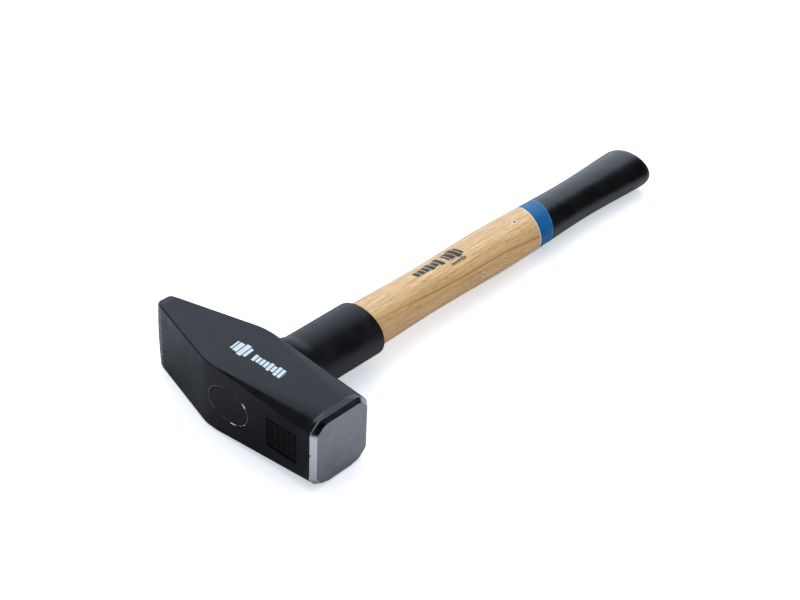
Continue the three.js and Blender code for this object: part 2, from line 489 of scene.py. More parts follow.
bmesh.ops.recalc_face_normals(forging, faces=forging.faces)
forging = combine(forging, eye_cutter(), "DIFFERENCE")
forging = combine(forging, stamp_cutter(), "DIFFERENCE")
stamp_rim = [
    edge
    for edge in forging.edges
    if all(
        abs(p.y + half_head) < 0.02
        and abs(p.x - stamp_middle) < stamp_size.x / 2 + 0.5
        and abs(p.z) < stamp_size.y / 2 + 0.5
        for p in ends_of(edge)
    )
    and edge.calc_face_angle(0) > math.radians(usual_crease)
]
soften(forging, stamp_rim, stamp_rim_radius, 2)
for face in forging.faces:
    face.material_index = STEEL if face.calc_center_median().x > ground_from + 0.12 else PAINT


def specks_effect():
    """Small round spots, one to a cell, in only some of the cells."""
    group, given, out = effect(
        "specks",
        [
            ("Vector", "Vector", None),
            ("Cells", "Float", 0.3),
            ("Size", "Float", 0.1),
            ("Share", "Float", 0.2),
        ],
        [("Mask", "Float")],
    )
    cells = put(group, "TexVoronoi", {"Vector": given["Vector"], "Scale": given["Cells"]})
    spot = ease(group, cells.outputs["Distance"], 0.0, given["Size"], 1.0, 0.0)
    draw = put(group, "SeparateColor", {0: cells.outputs["Color"]}).outputs[0]
    chosen = calc(group, "LESS_THAN", draw, given["Share"])
    group.links.new(product(group, spot, chosen), out["Mask"])
    return group


def worn_edges_effect():
    """Where the surface turns sharply, broken up by a cloud."""
    group, given, out = effect(
        "worn edges",
        [("Vector", "Vector", None), ("Radius", "Float", 0.0008), ("Break", "Float", 0.5)],
        [("Mask", "Float")],
    )
    rounded = put(group, "Bevel", {"Radius": given["Radius"]}, samples=4).outputs[0]
    true = put(group, "NewGeometry").outputs["Normal"]
    agree = put(group, "VectorMath", {0: rounded, 1: true}, operation="DOT_PRODUCT")
    edge = ease(group, agree.outputs["Value"], 0.82, 0.985, 1.0, 0.0)
    broken = cloud(group, given["Vector"], 0.8, 4.0, 0.6)
    kept = ease(group, broken, given["Break"], calc(group, "ADD", given["Break"], 0.18))
    group.links.new(product(group, edge, kept), out["Mask"])
    return group


def chip_effect():
    """A ragged patch of a given size round a given place."""
    group, given, out = effect(
        "chip",
        [
            ("Vector", "Vector", None),
            ("Middle", "Vector", (0, 0, 0)),
            ("Size", "Vector", (1, 1, 1)),
        ],
        [("Mask", "Float")],
    )
    moved = put(group, "VectorMath", {0: given["Vector"], 1: given["Middle"]}, operation="SUBTRACT")
    sized = put(group, "VectorMath", {0: moved.outputs[0], 1: given["Size"]}, operation="DIVIDE")
    away = put(group, "VectorMath", {0: sized.outputs[0]}, operation="LENGTH").outputs["Value"]
    raggedness = product(group, cloud(group, given["Vector"], 1.6, 4.0), 0.9)
    ragged = calc(group, "ADD", away, raggedness)
    group.links.new(ease(group, ragged, 1.3, 1.5, 1.0, 0.0), out["Mask"])
    return group


def bars_effect():
    """A printed row of slanted bars: U runs along the row, V across it."""
    group, given, out = effect(
        "printed bars",
        [
            ("U", "Float", 0.0),
            ("V", "Float", 0.0),
            ("Length", "Float", 10.0),
            ("Height", "Float", 5.0),
            ("Pitch", "Float", 2.0),
            ("Fill", "Float", 0.6),
            ("Slant", "Float", 0.25),
        ],
        [("Mask", "Float")],
    )
    slanted = calc(group, "MULTIPLY_ADD", given["V"], given["Slant"], given["U"])
    place = calc(group, "DIVIDE", slanted, given["Pitch"])
    number = calc(group, "FLOOR", place)
    within = calc(group, "FRACT", place)
    bar = calc(group, "LESS_THAN", within, given["Fill"])
    draw = put(group, "TexWhiteNoise", {"W": number}, noise_dimensions="1D").outputs["Value"]
    half = product(group, given["Height"], calc(group, "MULTIPLY_ADD", draw, 0.22, 0.28))
    tall = calc(group, "LESS_THAN", calc(group, "ABSOLUTE", given["V"]), half)
    reach = product(group, given["Length"], 0.5)
    inside = calc(group, "LESS_THAN", calc(group, "ABSOLUTE", slanted), reach)
    group.links.new(product(group, bar, tall, inside), out["Mask"])
    return group


def skin_effect():
    """The soft unevenness of a dipped or moulded surface, as a height, and a mottle."""
    group, given, out = effect(
        "dipped skin",
        [("Vector", "Vector", None), ("Coarse", "Float", 0.12), ("Fine", "Float", 1.2)],
        [("Height", "Float"), ("Mottle", "Float")],
    )
    coarse = cloud(group, given["Vector"], given["Coarse"], 2.0)
    fine = cloud(group, given["Vector"], given["Fine"], 3.0)
    height = calc(group, "MULTIPLY_ADD", fine, 0.25, coarse)
    group.links.new(height, out["Height"])
    group.links.new(ease(group, coarse, 0.3, 0.7), out["Mottle"])
    return group


specks = specks_effect()
worn_edges = worn_edges_effect()
chip = chip_effect()
printed_bars = bars_effect()
dipped_skin = skin_effect()


def printed(tree, along, across, runs):
    """Runs of bars: each has its middle along and across, length, height, pitch, fill, slant."""
    masks = []
    for middle_along, middle_across, length, height, pitch, fill, slant in runs:
        u = calc(tree, "SUBTRACT", along, middle_along)
        v = calc(tree, "SUBTRACT", across, middle_across)
        size = {"Length": length, "Height": height, "Pitch": pitch}
        bars = apply_effect(tree, printed_bars, U=u, V=v, Fill=fill, Slant=slant, **size)
        masks.append(bars["Mask"])
    return fold(tree, "MAXIMUM", *masks)


def link_finish(tree, shader, color, roughness, height=None, strength=0.1, depth=0.0002):
    tree.links.new(color, shader.inputs["Base Color"])
    tree.links.new(roughness, shader.inputs["Roughness"])
    if height is not None:
        bump = put(tree, "Bump", {"Height": height, "Strength": strength, "Distance": depth})
        tree.links.new(bump.outputs[0], shader.inputs["Normal"])


def head_paint():
    material, tree, shader, place = new_finish("black head paint")
    x, y, z = put(tree, "SeparateXYZ", {0: place}).outputs
    skin = apply_effect(tree, dipped_skin, Vector=place, Coarse=0.1, Fine=1.1)
    color = mix(tree, skin["Mottle"], (0.006, 0.007, 0.0103, 1), (0.0105, 0.0118, 0.0157, 1))
    dust = mask_of(tree, specks, place, Cells=0.16, Size=0.045, Share=0.3)
    color = stain(tree, color, dust, 0.5, (0.16, 0.17, 0.19, 1))
    wear = mask_of(tree, worn_edges, place, Radius=0.0007, Break=0.52)
    color = stain(tree, color, wear, 0.35, (0.075, 0.08, 0.09, 1))

    # The nose is scuffed through to the scale, with a few bright nicks; the scuff is also painted
    # lighter as a painted highlight on the rounded nose.
    reach = calc(tree, "MULTIPLY_ADD", cloud(tree, place, 0.5, 4.0, 0.7), 3.0, x)
    nose = ease(tree, reach, -pein_reach + 6.5, -pein_reach + 8.5, 1.0, 0.0)
    nose = product(tree, nose, ease(tree, z, half_head - 1.5, half_head - 0.3, 1.0, 0.15))
    scuff_and_highlight = product(tree, nose, ease(tree, cloud(tree, place, 0.6, 5.0, 0.7), 0.3, 0.55))
    color = stain(tree, color, scuff_and_highlight, 0.8, (0.14, 0.15, 0.165, 1))
    nicks = product(tree, nose, ease(tree, cloud(tree, place, 0.9, 2.0), 0.57, 0.62))
    color = stain(tree, color, nicks, 0.8, (0.5, 0.52, 0.55, 1))

    # The dressed chamfer behind the face is painted lighter, a painted sheen for the light it
    # catches, and the paint is painted darker inside the stamp's recess.
    chamfer_sheen = ease(tree, x, chamfer_from - 0.2, chamfer_from + 0.5)
    chamfer_sheen = product(tree, chamfer_sheen, ease(tree, z, rim_top - 1.4, rim_top - 0.2))
    color = stain(tree, color, chamfer_sheen, 0.9, (0.062, 0.074, 0.09, 1))
    in_stamp = product(
        tree,
        calc(tree, "GREATER_THAN", y, -half_head + 0.2),
        calc(tree, "COMPARE", x, stamp_middle, stamp_size.x / 2 - 0.1),
        calc(tree, "COMPARE", z, 0.0, stamp_size.y / 2 - 0.1),
        calc(tree, "LESS_THAN", y, -half_head + 1.5),
    )
    color = mix(tree, in_stamp, color, (0.004, 0.0045, 0.006, 1))

    # At the corners of the face a thin pale line is painted on the paint by the ground rim: a
    # painted highlight.
    far_out = ease(tree, calc(tree, "ABSOLUTE", y), 15.5, 17.0)
    far_up = ease(tree, calc(tree, "ABSOLUTE", z), 13.5, 15.5)
    corner_highlight = product(tree, far_out, far_up)
    at_face = ease(tree, x, ground_from - 0.3, ground_from - 0.15)
    color = stain(tree, color, at_face, corner_highlight, (0.33, 0.31, 0.29, 1))

    # A pale crack line runs round the eye, where the paint bridges from steel to wood. It is
    # an oval a little off the eye's middle, and the paint has come off in flecks beside it.
    across = calc(tree, "DIVIDE", calc(tree, "ADD", x, 1.1), eye_half.x - 0.3)
    along = calc(tree, "DIVIDE", calc(tree, "SUBTRACT", z, 0.5), eye_half.z - 0.4)
    squares = [calc(tree, "POWER", part, 2.0) for part in (across, along)]
    around = calc(tree, "SQRT", calc(tree, "ADD", *squares))
    off_line = calc(tree, "ABSOLUTE", calc(tree, "SUBTRACT", around, 1.0))
    top = ease(tree, y, -half_head + 0.5, -half_head + 0.7, 1.0, 0.0)
    line = product(tree, ease(tree, off_line, 0.012, 0.03, 1.0, 0.0), top)
    uneven = ease(tree, cloud(tree, place, 0.22, 3.0), 0.35, 0.6, 0.25, 0.8)
    color = stain(tree, color, line, uneven, (0.13, 0.138, 0.15, 1))
    chips = []
    for middle, size in (
        ((12.0, -half_head, 7.2), (1.5, 1, 1.8)),
        ((3.4, -half_head, -10.9), (3.0, 1, 0.7)),
        ((13.0, -half_head, -6.6), (0.7, 1, 0.8)),
        ((9.6, -half_head, -9.2), (0.6, 1, 0.5)),
    ):
        chips.append(mask_of(tree, chip, place, Middle=middle, Size=size))
    bare = fold(tree, "MAXIMUM", *chips)
    flecks = product(tree, bare, ease(tree, off_line, 0.022, 0.045, 1.0, 0.0), top)
    color = mix(tree, flecks, color, (0.8, 0.82, 0.84, 1))

    # A printed mark on the upper cheek: a tall block of bars and a lower run of finer ones.
    cheek = calc(tree, "GREATER_THAN", z, half_head - 0.2)
    block = (-13.0, -0.6, 13.0, 13.5, 4.3, 0.82, 0.12)
    fine_run = (10.0, -1.2, 25.0, 8.5, 3.1, 0.76, 0.2)
    ink = product(tree, printed(tree, x, y, (block, fine_run)), cheek)
    worn_ink = product(tree, ink, ease(tree, cloud(tree, place, 0.9, 4.0, 0.7), 0.22, 0.34))
    color = mix(tree, worn_ink, color, (0.62, 0.74, 0.82, 1))

    rough = calc(tree, "MULTIPLY_ADD", skin["Mottle"], 0.08, 0.36)
    matt = product(tree, calc(tree, "MAXIMUM", scuff_and_highlight, ink), 0.55)
    rough = calc(tree, "MAXIMUM", rough, matt)
    link_finish(tree, shader, color, rough, skin["Height"], 0.25)
    return material


def ground_steel():
    material, tree, shader, place = new_finish("ground steel", Metallic=1.0)
    x = put(tree, "SeparateXYZ", {0: place}).outputs["X"]
    on_face = ease(tree, x, face_reach - 0.12, face_reach - 0.04)
    lines = cloud(tree, stretched(tree, place, (1.0, 0.22, 4.2)), 1.0, 5.0, 0.7)
    smudge = cloud(tree, place, 0.09, 3.0)
    dark_line, pale_line = (0.27, 0.27, 0.285, 1), (0.42, 0.42, 0.435, 1)
    face_color = mix(tree, ease(tree, lines, 0.35, 0.65), dark_line, pale_line)
    smudged = ease(tree, smudge, 0.35, 0.75, 0.0, 0.35)
    face_color = mix(tree, smudged, face_color, (0.28, 0.265, 0.26, 1))
    dark_line, pale_line = (0.72, 0.74, 0.77, 1), (0.86, 0.88, 0.9, 1)
    bevel_color = mix(tree, ease(tree, lines, 0.3, 0.75), dark_line, pale_line)
    color = mix(tree, on_face, bevel_color, face_color)
    # A thin bright line just past the rim of the ground bevel is a painted highlight.
    rim_highlight = ease(tree, x, ground_from + 0.16, ground_from + 0.26, 1.0, 0.0)
    color = mix(tree, rim_highlight, color, grey(0.95))
    pits = mask_of(tree, specks, place, Cells=0.5, Size=0.12, Share=0.1)
    color = stain(tree, color, pits, 0.6, (0.12, 0.12, 0.13, 1))
    wear = mask_of(tree, worn_edges, place, Radius=0.0004, Break=0.4)
    color = stain(tree, color, wear, 0.5, (0.85, 0.86, 0.88, 1))
    middle, size = (65.3, -23.3, 2.0), (0.6, 0.6, 0.6)
    chipped = mask_of(tree, chip, place, Middle=middle, Size=size)
    color = mix(tree, chipped, color, (0.03, 0.03, 0.035, 1))
    rough = calc(tree, "MULTIPLY_ADD", lines, 0.2, ease(tree, on_face, 0.0, 1.0, 0.2, 0.32))
    link_finish(tree, shader, color, rough, lines, 0.25, 0.0001)
    return material


black_paint = head_paint()
bare_steel = ground_steel()
head_finishes = (black_paint, bare_steel)
finish_piece("forged_head", forging, head_finishes, "hammer_head", head_crease)


# ---- Wooden handle ----
# An oval ash handle with its tenon driven through the eye. The wood is sanded and varnished, and
# the grip is dipped twice: first in blue lacquer, then in thick glossy black up to a slanted line.

butt_end = 376.5
butt_dome = 0.6
sanded_from, sanded_over = 30, 10
wood_depth = 0.22
blue_depth = 0.12
tenon_gap = 0.1
tenon_sunk, tenon_short = 0.12, 0.4
tenon_chamfer, tenon_chamfer_end = 0.3, 0.5
run_steps = 10
WOOD, BLUE, BLACK, PAINTED = 0, 1, 2, 3

# Places along Y with the half sizes across.
shaft = [
    Vector((16.6, 23.6, 11.8)),
    Vector((18.2, 40.5, 14.6)),
    Vector((17.9, 87.7, 14.4)),
    Vector((17.1, 144.5, 13.5)),
    Vector((18.9, 221.5, 13.6)),
    Vector((16.9, 304.5, 12.4)),
    Vector((19.7, 368.9, 12.8)),
]
butt_rim = (17.4, 10.6)


def smooth_run(knots, steps):
    """Points on one smooth curve through the knots."""
    points = []
    for number, (a, b) in enumerate(zip(knots, knots[1:])):
        before = knots[max(number - 1, 0)]
        after = knots[min(number + 2, len(knots) - 1)]
        reach = (b - a).length / 3
        handle_a = a + (b - before).normalized() * reach
        handle_b = b - (after - a).normalized() * reach
        points += interpolate_bezier(a, handle_a, handle_b, b, steps)[:-1]
    return points + [knots[-1]]


def handle_stations():
    """From the chamfered end of the tenon, along the neck and the grip, to the domed butt."""
    tenon = eye_wall(tenon_gap)
    lead = tenon[0] + Vector((-tenon_chamfer, tenon_sunk, -tenon_chamfer))
    tenon[0].y += tenon_chamfer_end
    tenon[-1].y -= tenon_short
    grip = smooth_run(shaft, run_steps)
    swell = shaft[-1]
    rise = butt_end - butt_dome - swell.y
    butt = []
    for step in range(1, 9):
        turn = math.pi / 2 * step / 8
        fall = 1 - math.cos(turn)
        x = swell.x - (swell.x - butt_rim[0]) * fall
        z = swell.z - (swell.z - butt_rim[1]) * fall
        butt.append(Vector((x, swell.y + rise * math.sin(turn), z)))
    for share in (0.85, 0.6, 0.3, 0.05):
        y = butt_end - butt_dome * share**2
        butt.append(Vector((butt_rim[0] * share, y, butt_rim[1] * share)))
    return [lead, *tenon, *grip, *butt]


handle = oval_tube(handle_stations())

# The edges of the two coats run at a slant round the grip.
blue_edge = Vector((0, 253.4, 0)), Vector((0.36, 1, -0.05)).normalized()
black_edge = Vector((0, 266.9, 0)), Vector((0.37, 1, -0.15)).normalized()
lip = 0.35
for point, normal in (blue_edge, black_edge):
    for place_on_lip in (0, lip / 2, lip):
        scored(handle, whole(handle), point + normal * place_on_lip, normal)


def past(point, edge):
    """How far a point lies past the edge of a coat."""
    return (point - edge[0]).dot(edge[1])


def sanded(y):
    """How much of its depth the sanding has reached at a place along the neck."""
    return from_0_to_1((y - sanded_from) / sanded_over)


handle.normal_update()
sunk = {}
for vert in handle.verts:
    if vert.co.y < sanded_from:
        continue
    coats = from_0_to_1(past(vert.co, blue_edge) / lip)
    dips = from_0_to_1(past(vert.co, black_edge) / lip)
    depth = wood_depth - (wood_depth - blue_depth) * coats**0.5 - blue_depth * dips**0.5
    sunk[vert] = vert.co - vert.normal * depth * sanded(vert.co.y)
for vert, place_now in sunk.items():
    vert.co = place_now
for face in handle.faces:
    middle = face.calc_center_median()
    if past(middle, black_edge) > 0:
        face.material_index = BLACK
    elif past(middle, blue_edge) > 0:
        face.material_index = BLUE
    elif middle.y < -half_head + 0.6:
        face.material_index = PAINTED
    else:
        face.material_index = WOOD

# The tenon is sawn down its middle for the wooden wedge, and grooved for the ring.
wedge_top, wedge_tip, wedge_depth = 5.2, 1.6, 30.0
saw_width, saw_depth = 1.8, 37.0
ring_radius, ring_top, ring_tip, ring_depth = 7.0, 2.4, 0.9, 15.0
ring_sides = 64
wedge_gap = 0.06
wedge_length, cutter_length = 36, 40
cutter_lift = 2.0


def tapered_slab(grow, lift, long):
    """A wedge as long as the eye, thick at the head's top and thin at its tip."""
    bm = bmesh.new()
    bmesh.ops.create_cube(bm, size=1)
    deep = wedge_depth + grow + lift
    slope = (wedge_top - wedge_tip) / wedge_depth
    for vert in bm.verts:
        thick = wedge_top + slope * lift if vert.co.y < 0 else wedge_tip
        vert.co = Vector(
            (
                vert.co.x * long,
                (vert.co.y + 0.5) * deep - half_head - lift,
                vert.co.z * (thick + 2 * grow),
            )
        )
    return bm


def ring_solid(grow, lift):
    """The steel ring, spun round the handle's axis from its tapered section."""
    bm = bmesh.new()
    bmesh.ops.create_grid(bm, x_segments=1, y_segments=1, size=0.5)
    deep = ring_depth + grow + lift
    for vert in bm.verts:
        thick = ring_top if vert.co.y < 0 else ring_tip
        x = ring_radius + vert.co.x * (thick + 2 * grow)
        vert.co = Vector((x, (vert.co.y + 0.5) * deep - half_head - lift, 0))
    section = bm.verts[:] + bm.edges[:]
    bmesh.ops.delete(bm, geom=bm.faces[:], context="FACES_ONLY")
    bmesh.ops.spin(
        bm,
        geom=section,
        cent=(0, 0, 0),
        axis=(0, 1, 0),
        angle=2 * math.pi,
        steps=ring_sides,
        use_merge=True,
    )
    bmesh.ops.recalc_face_normals(bm, faces=bm.faces)
    return bm


def saw_cut():
    bm = bmesh.new()
    bmesh.ops.create_cube(bm, size=1)
    start = wedge_depth - 2
    bmesh.ops.scale(bm, vec=(cutter_length, saw_depth - start, saw_width), verts=bm.verts)
    bmesh.ops.translate(bm, vec=(0, (saw_depth + start) / 2 - half_head, 0), verts=bm.verts)
    return bm


wedge_slot = tapered_slab(wedge_gap, cutter_lift, cutter_length)
for tool in (saw_cut(), wedge_slot, ring_solid(wedge_gap, cutter_lift)):
    handle = combine(handle, tool, "DIFFERENCE")


def under_paint(tree, y, color):
    """A wooden part's color, with the head's black paint over its end."""
    return mix(tree, ease(tree, y, -half_head + 1.5, -half_head + 3, 1.0, 0.0), color, grey(0.008))


def ash_wood():
    varnish = {"Coat Weight": 0.25, "Coat Roughness": 0.2}
    material, tree, shader, place = new_finish("varnished ash", **varnish)
    x, y, z = put(tree, "SeparateXYZ", {0: place}).outputs
    drift = cloud(tree, stretched(tree, place, (0.05, 0.006, 0.05)), 1.0, 2.0)
    across = calc(tree, "MULTIPLY_ADD", z, 0.42, calc(tree, "MULTIPLY_ADD", y, 0.012, x))
    layer = calc(tree, "MULTIPLY_ADD", drift, 9.0, product(tree, across, 0.42))
    ring = calc(tree, "FRACT", layer)
    early = product(tree, ease(tree, ring, 0.0, 0.16, 1.0, 0.0), 0.8)
    late = ease(tree, ring, 0.6, 1.0)
    streaks = cloud(tree, stretched(tree, place, (0.8, 0.009, 0.8)), 1.0, 4.0, 0.6)
    fibres = cloud(tree, stretched(tree, place, (1.6, 0.025, 1.6)), 1.0, 5.0, 0.65)
    dark_wood, pale_wood = (0.8, 0.505, 0.215, 1), (0.93, 0.67, 0.36, 1)
    color = mix(tree, ease(tree, streaks, 0.3, 0.7), dark_wood, pale_wood)
    color = stain(tree, color, late, 0.22, (0.6, 0.34, 0.13, 1))
    color = stain(tree, color, early, 0.3, (0.46, 0.23, 0.08, 1))
    color = mix(tree, ease(tree, fibres, 0.36, 0.58, 0.5, 0.0), color, (0.34, 0.175, 0.07, 1))
    pores = cloud(tree, stretched(tree, place, (2.6, 0.13, 2.6)), 1.0, 3.0, 0.6)
    pores = product(tree, ease(tree, pores, 0.53, 0.63), calc(tree, "ADD", early, 0.6))
    color = stain(tree, color, pores, 0.8, (0.25, 0.12, 0.04, 1))
    # The shaft is painted darker towards its +X side, which faces away from the softbox: painted
    # shade.
    lower = ease(tree, x, 3.0, 15.0, 0.0, 0.4)
    color = mix(tree, lower, color, (0.47, 0.26, 0.095, 1))

    # A dark mineral streak runs along the shaft in a warm band.
    slope = calc(tree, "MULTIPLY_ADD", y, 0.038, 5.1)
    streak_middle = calc(tree, "MULTIPLY_ADD", drift, 5.0, slope)
    off_streak = calc(tree, "ABSOLUTE", calc(tree, "SUBTRACT", x, streak_middle))
    band = ease(tree, off_streak, 0.8, 5.0, 0.5, 0.0)
    color = stain(tree, color, band, ease(tree, fibres, 0.4, 0.55, 1.0, 0.3), (0.62, 0.33, 0.11, 1))
    streak = ease(tree, off_streak, 0.05, 0.55, 0.75, 0.0)
    color = stain(tree, color, streak, ease(tree, streaks, 0.25, 0.55), (0.26, 0.115, 0.04, 1))

    # Small knocks and specks in the varnish.
    for middle, size in (
        ((1.6, 237.6, 13.4), (1.0, 1.5, 2)),
        ((17.2, 209.0, 4.6), (2, 0.8, 0.7)),
        ((17.9, 187.5, 1.9), (2, 1.1, 1.0)),
        ((17.5, 170.7, 1.8), (2, 0.6, 0.5)),
    ):
        pale = Vector(size) * 1.9
        halo = mask_of(tree, chip, place, Middle=middle, Size=pale)
        color = stain(tree, color, halo, 0.55, (0.85, 0.76, 0.6, 1))
        knock = mask_of(tree, chip, place, Middle=middle, Size=size)
        color = stain(tree, color, knock, 0.85, (0.05, 0.045, 0.04, 1))
    dirt = mask_of(tree, specks, place, Cells=0.09, Size=0.04, Share=0.35)
    color = stain(tree, color, dirt, 0.5, (0.12, 0.07, 0.04, 1))

    # A printed mark on the flat of the shaft: a run of fine bars, a tall block and a line under it.
    upper = calc(tree, "GREATER_THAN", z, 4.0)
    fine_run = (153.5, -2.5, 26.0, 9.5, 4.3, 0.86, -0.1)
    block = (176.8, -2.5, 15.0, 13.5, 5.0, 0.88, -0.1)
    under_line = (175.0, 5.4, 14.0, 3.2, 1.5, 0.7, 0.0)
    ink = product(tree, printed(tree, y, x, (fine_run, block, under_line)), upper)
    color = stain(tree, color, ink, 0.97, (0.005, 0.005, 0.006, 1))
    color = under_paint(tree, y, color)
    rough = ease(tree, fibres, 0.2, 0.8, 0.5, 0.36)
    link_finish(tree, shader, color, rough, fibres, 0.12, 0.0001)
    return material


def dip(name, low, high, roughness, gloss, edge, edge_color):
    """A dipped coat that mottles from low to high, with a thin rim of its own at its edge."""
    shine = {"Specular IOR Level": 0.3 + gloss / 2, "Coat Weight": gloss, "Coat Roughness": 0.22}
    material, tree, shader, place = new_finish(name, **shine)
    skin = apply_effect(tree, dipped_skin, Vector=place, Coarse=0.07, Fine=0.9)
    color = mix(tree, skin["Mottle"], low, high)
    dust = mask_of(tree, specks, place, Cells=0.14, Size=0.04, Share=0.4)
    color = stain(tree, color, dust, 0.6, (0.2, 0.21, 0.22, 1))
    scuffs = ease(tree, cloud(tree, stretched(tree, place, (0.9, 0.06, 0.9)), 1.0, 3.0), 0.66, 0.72)
    color = stain(tree, color, scuffs, 0.12, grey(0.2))
    away = put(tree, "VectorMath", {0: place, 1: edge[0]}, operation="SUBTRACT").outputs[0]
    from_edge = put(tree, "VectorMath", {0: away, 1: edge[1]}, operation="DOT_PRODUCT")
    rim = ease(tree, from_edge.outputs["Value"], lip * 1.2, lip * 1.9, 1.0, 0.0)
    color = mix(tree, rim, color, edge_color)
    rough = calc(tree, "MULTIPLY_ADD", skin["Mottle"], 0.06, roughness)
    rough = calc(tree, "MULTIPLY_ADD", scuffs, 0.2, rough)
    link_finish(tree, shader, color, rough, skin["Height"], 0.6, 0.0009)
    return material


varnished_ash = ash_wood()
pale_rim, blue_rim = (0.78, 0.74, 0.66, 1), (0.05, 0.2, 0.34, 1)
blues = (0.0, 0.105, 0.3, 1), (0.0, 0.132, 0.35, 1)
blacks = (0.004, 0.004, 0.005, 1), (0.008, 0.008, 0.009, 1)
blue_lacquer = dip("blue lacquer", *blues, 0.32, 0.0, blue_edge, pale_rim)
black_dip = dip("black dip", *blacks, 0.33, 0.4, black_edge, blue_rim)
handle_finishes = (varnished_ash, blue_lacquer, black_dip, black_paint)
finish_piece("oval_handle", handle, handle_finishes, "handle")


# ---- Wooden wedge ----
# A hardwood wedge driven into the saw cut, which spreads the tenon in the eye. It is trimmed
# flush with the tenon, and its end is under the head's paint.

wedge_sunk = 0.15
BARE, OVERPAINTED = 0, 1


def paint_end(bm):
    """Gives the end at the head's top the second of a wedge's finishes."""
    for face in bm.faces:
        at_top = face.calc_center_median().y < -half_head + 0.3
        face.material_index = OVERPAINTED if at_top else BARE


wooden_wedge = tapered_slab(0, -wedge_sunk, wedge_length)
wooden_wedge = combine(wooden_wedge, oval_tube(eye_wall(tenon_gap)), "INTERSECT")
wooden_wedge = combine(wooden_wedge, ring_solid(wedge_gap, cutter_lift), "DIFFERENCE")
paint_end(wooden_wedge)


def wedge_wood():
    material, tree, shader, place = new_finish("raw wedge wood")
    y = put(tree, "SeparateXYZ", {0: place}).outputs["Y"]
    streaks = cloud(tree, stretched(tree, place, (0.06, 0.9, 0.9)), 1.0, 4.0, 0.6)
    color = mix(tree, ease(tree, streaks, 0.3, 0.7), (0.3, 0.17, 0.08, 1), (0.46, 0.3, 0.16, 1))
    color = under_paint(tree, y, color)
    rough = ease(tree, streaks, 0.2, 0.8, 0.8, 0.65)
    link_finish(tree, shader, color, rough, streaks, 0.3)
    return material


wedge_finishes = (wedge_wood(), black_paint)
finish_piece("wooden_wedge", wooden_wedge, wedge_finishes, "wood_wedge")


# ---- Steel ring wedge ----
# A tapered tube of mild steel, driven across the wooden wedge so that the tenon spreads on every
# side. Its end is flush with the tenon and under the same paint.

steel_ring = ring_solid(0, -wedge_sunk)
paint_end(steel_ring)


def ring_steel():
    material, tree, shader, place = new_finish("raw ring steel", Metallic=1.0)
    drawn_lines = cloud(tree, stretched(tree, place, (1.6, 0.1, 1.6)), 1.0, 4.0)
    dark_line, pale_line = (0.36, 0.36, 0.37, 1), (0.55, 0.55, 0.56, 1)
    color = mix(tree, ease(tree, drawn_lines, 0.3, 0.7), dark_line, pale_line)
    rough = ease(tree, drawn_lines, 0.2, 0.8, 0.5, 0.32)
    link_finish(tree, shader, color, rough, drawn_lines, 0.2)
    return material


finish_piece("steel_ring", steel_ring, (ring_steel(), black_paint), "ring_wedge")


# ---- Guard collar ----
# A moulded rubber sleeve that saves the handle from missed blows. It is pushed up against the
# head, where it ends in a thick bead, and it grips the neck of the handle.

collar_start = half_head + 0.3
collar_end = 87.7
collar_body = Vector((20.1, 0, 17.7))
collar_mouth = Vector((21.0, 0, 16.9))
bead_length = 13.0
bead_rise = 1.7
bead_crest = 0.35
collar_gap = 0.1
mouth_radius = 0.8


def collar_stations():
    """Out along the bead and the sleeve, round the mouth, and back along the bore."""
    outside = []
    bead_steps, body_steps, mouth_steps = 12, 9, 4
    for step in range(bead_steps):
        share = step / bead_steps
        swell = math.cos((share - bead_crest) / (1 - bead_crest) * math.pi / 2) ** 1.5
        y = collar_start + share * bead_length
        rise = bead_rise * swell
        outside.append(Vector((collar_body.x + rise, y, collar_body.z + rise)))
    foot = collar_start + bead_length
    straight_to = collar_end - mouth_radius
    for step in range(body_steps):
        share = step / body_steps
        size = collar_body.lerp(collar_mouth, share)
        outside.append(Vector((size.x, foot + (straight_to - foot) * share, size.z)))
    for step in range(mouth_steps + 1):
        turn = math.pi / 2 * step / mouth_steps
        fall = mouth_radius * (1 - math.cos(turn))
        y = straight_to + mouth_radius * math.sin(turn)
        outside.append(Vector((collar_mouth.x - fall, y, collar_mouth.z - fall)))
    bore = []
    for point in smooth_run(shaft, run_steps):
        if collar_start + 1 < point.y < collar_end - 2:
            grow = collar_gap - wood_depth * sanded(point.y)
            bore.append(Vector((point.x + grow, point.y, point.z + grow)))
    mouth = bore[-1].copy()
    mouth.y = collar_end
    first = bore[0].copy()
    first.y = collar_start
    return outside + [mouth, *reversed(bore), first]


collar = oval_tube(collar_stations(), closed=True)


def collar_rubber():
    material, tree, shader, place = new_finish("moulded rubber")
    y = put(tree, "SeparateXYZ", {0: place}).outputs["Y"]
    skin = apply_effect(tree, dipped_skin, Vector=place, Coarse=0.09, Fine=2.2)
    color = mix(tree, skin["Mottle"], (0.005, 0.0058, 0.008, 1), (0.01, 0.0113, 0.0145, 1))
    dust = mask_of(tree, specks, place, Cells=0.3, Size=0.06, Share=0.35)
    color = stain(tree, color, dust, 0.4, (0.2, 0.2, 0.21, 1))
    wear = mask_of(tree, worn_edges, place, Radius=0.001, Break=0.45)
    color = stain(tree, color, wear, 0.4, (0.06, 0.062, 0.068, 1))
    near_mouth = ease(tree, y, collar_end - 18, collar_end - 4)
    rubbed = ease(tree, cloud(tree, stretched(tree, place, (0.8, 0.09, 0.8)), 1.0, 3.0), 0.6, 0.68)
    rubbed = product(tree, rubbed, near_mouth)
    color = stain(tree, color, rubbed, 0.35, (0.1, 0.1, 0.11, 1))
    rough = calc(tree, "MULTIPLY_ADD", skin["Mottle"], 0.08, 0.38)
    link_finish(tree, shader, color, rough, skin["Height"], 0.3)
    return material


finish_piece("rubber_collar", collar, (collar_rubber(),), "guard_collar")


# ---- Table, light and camera ----
# A glossy white table in even room light, with one large soft light from behind on the left and
# a fill from above that only evens out the shadows.

table_mesh = bmesh.new()
bmesh.ops.create_grid(table_mesh, x_segments=1, y_segments=1, size=6)
table = make_object("table", table_mesh)


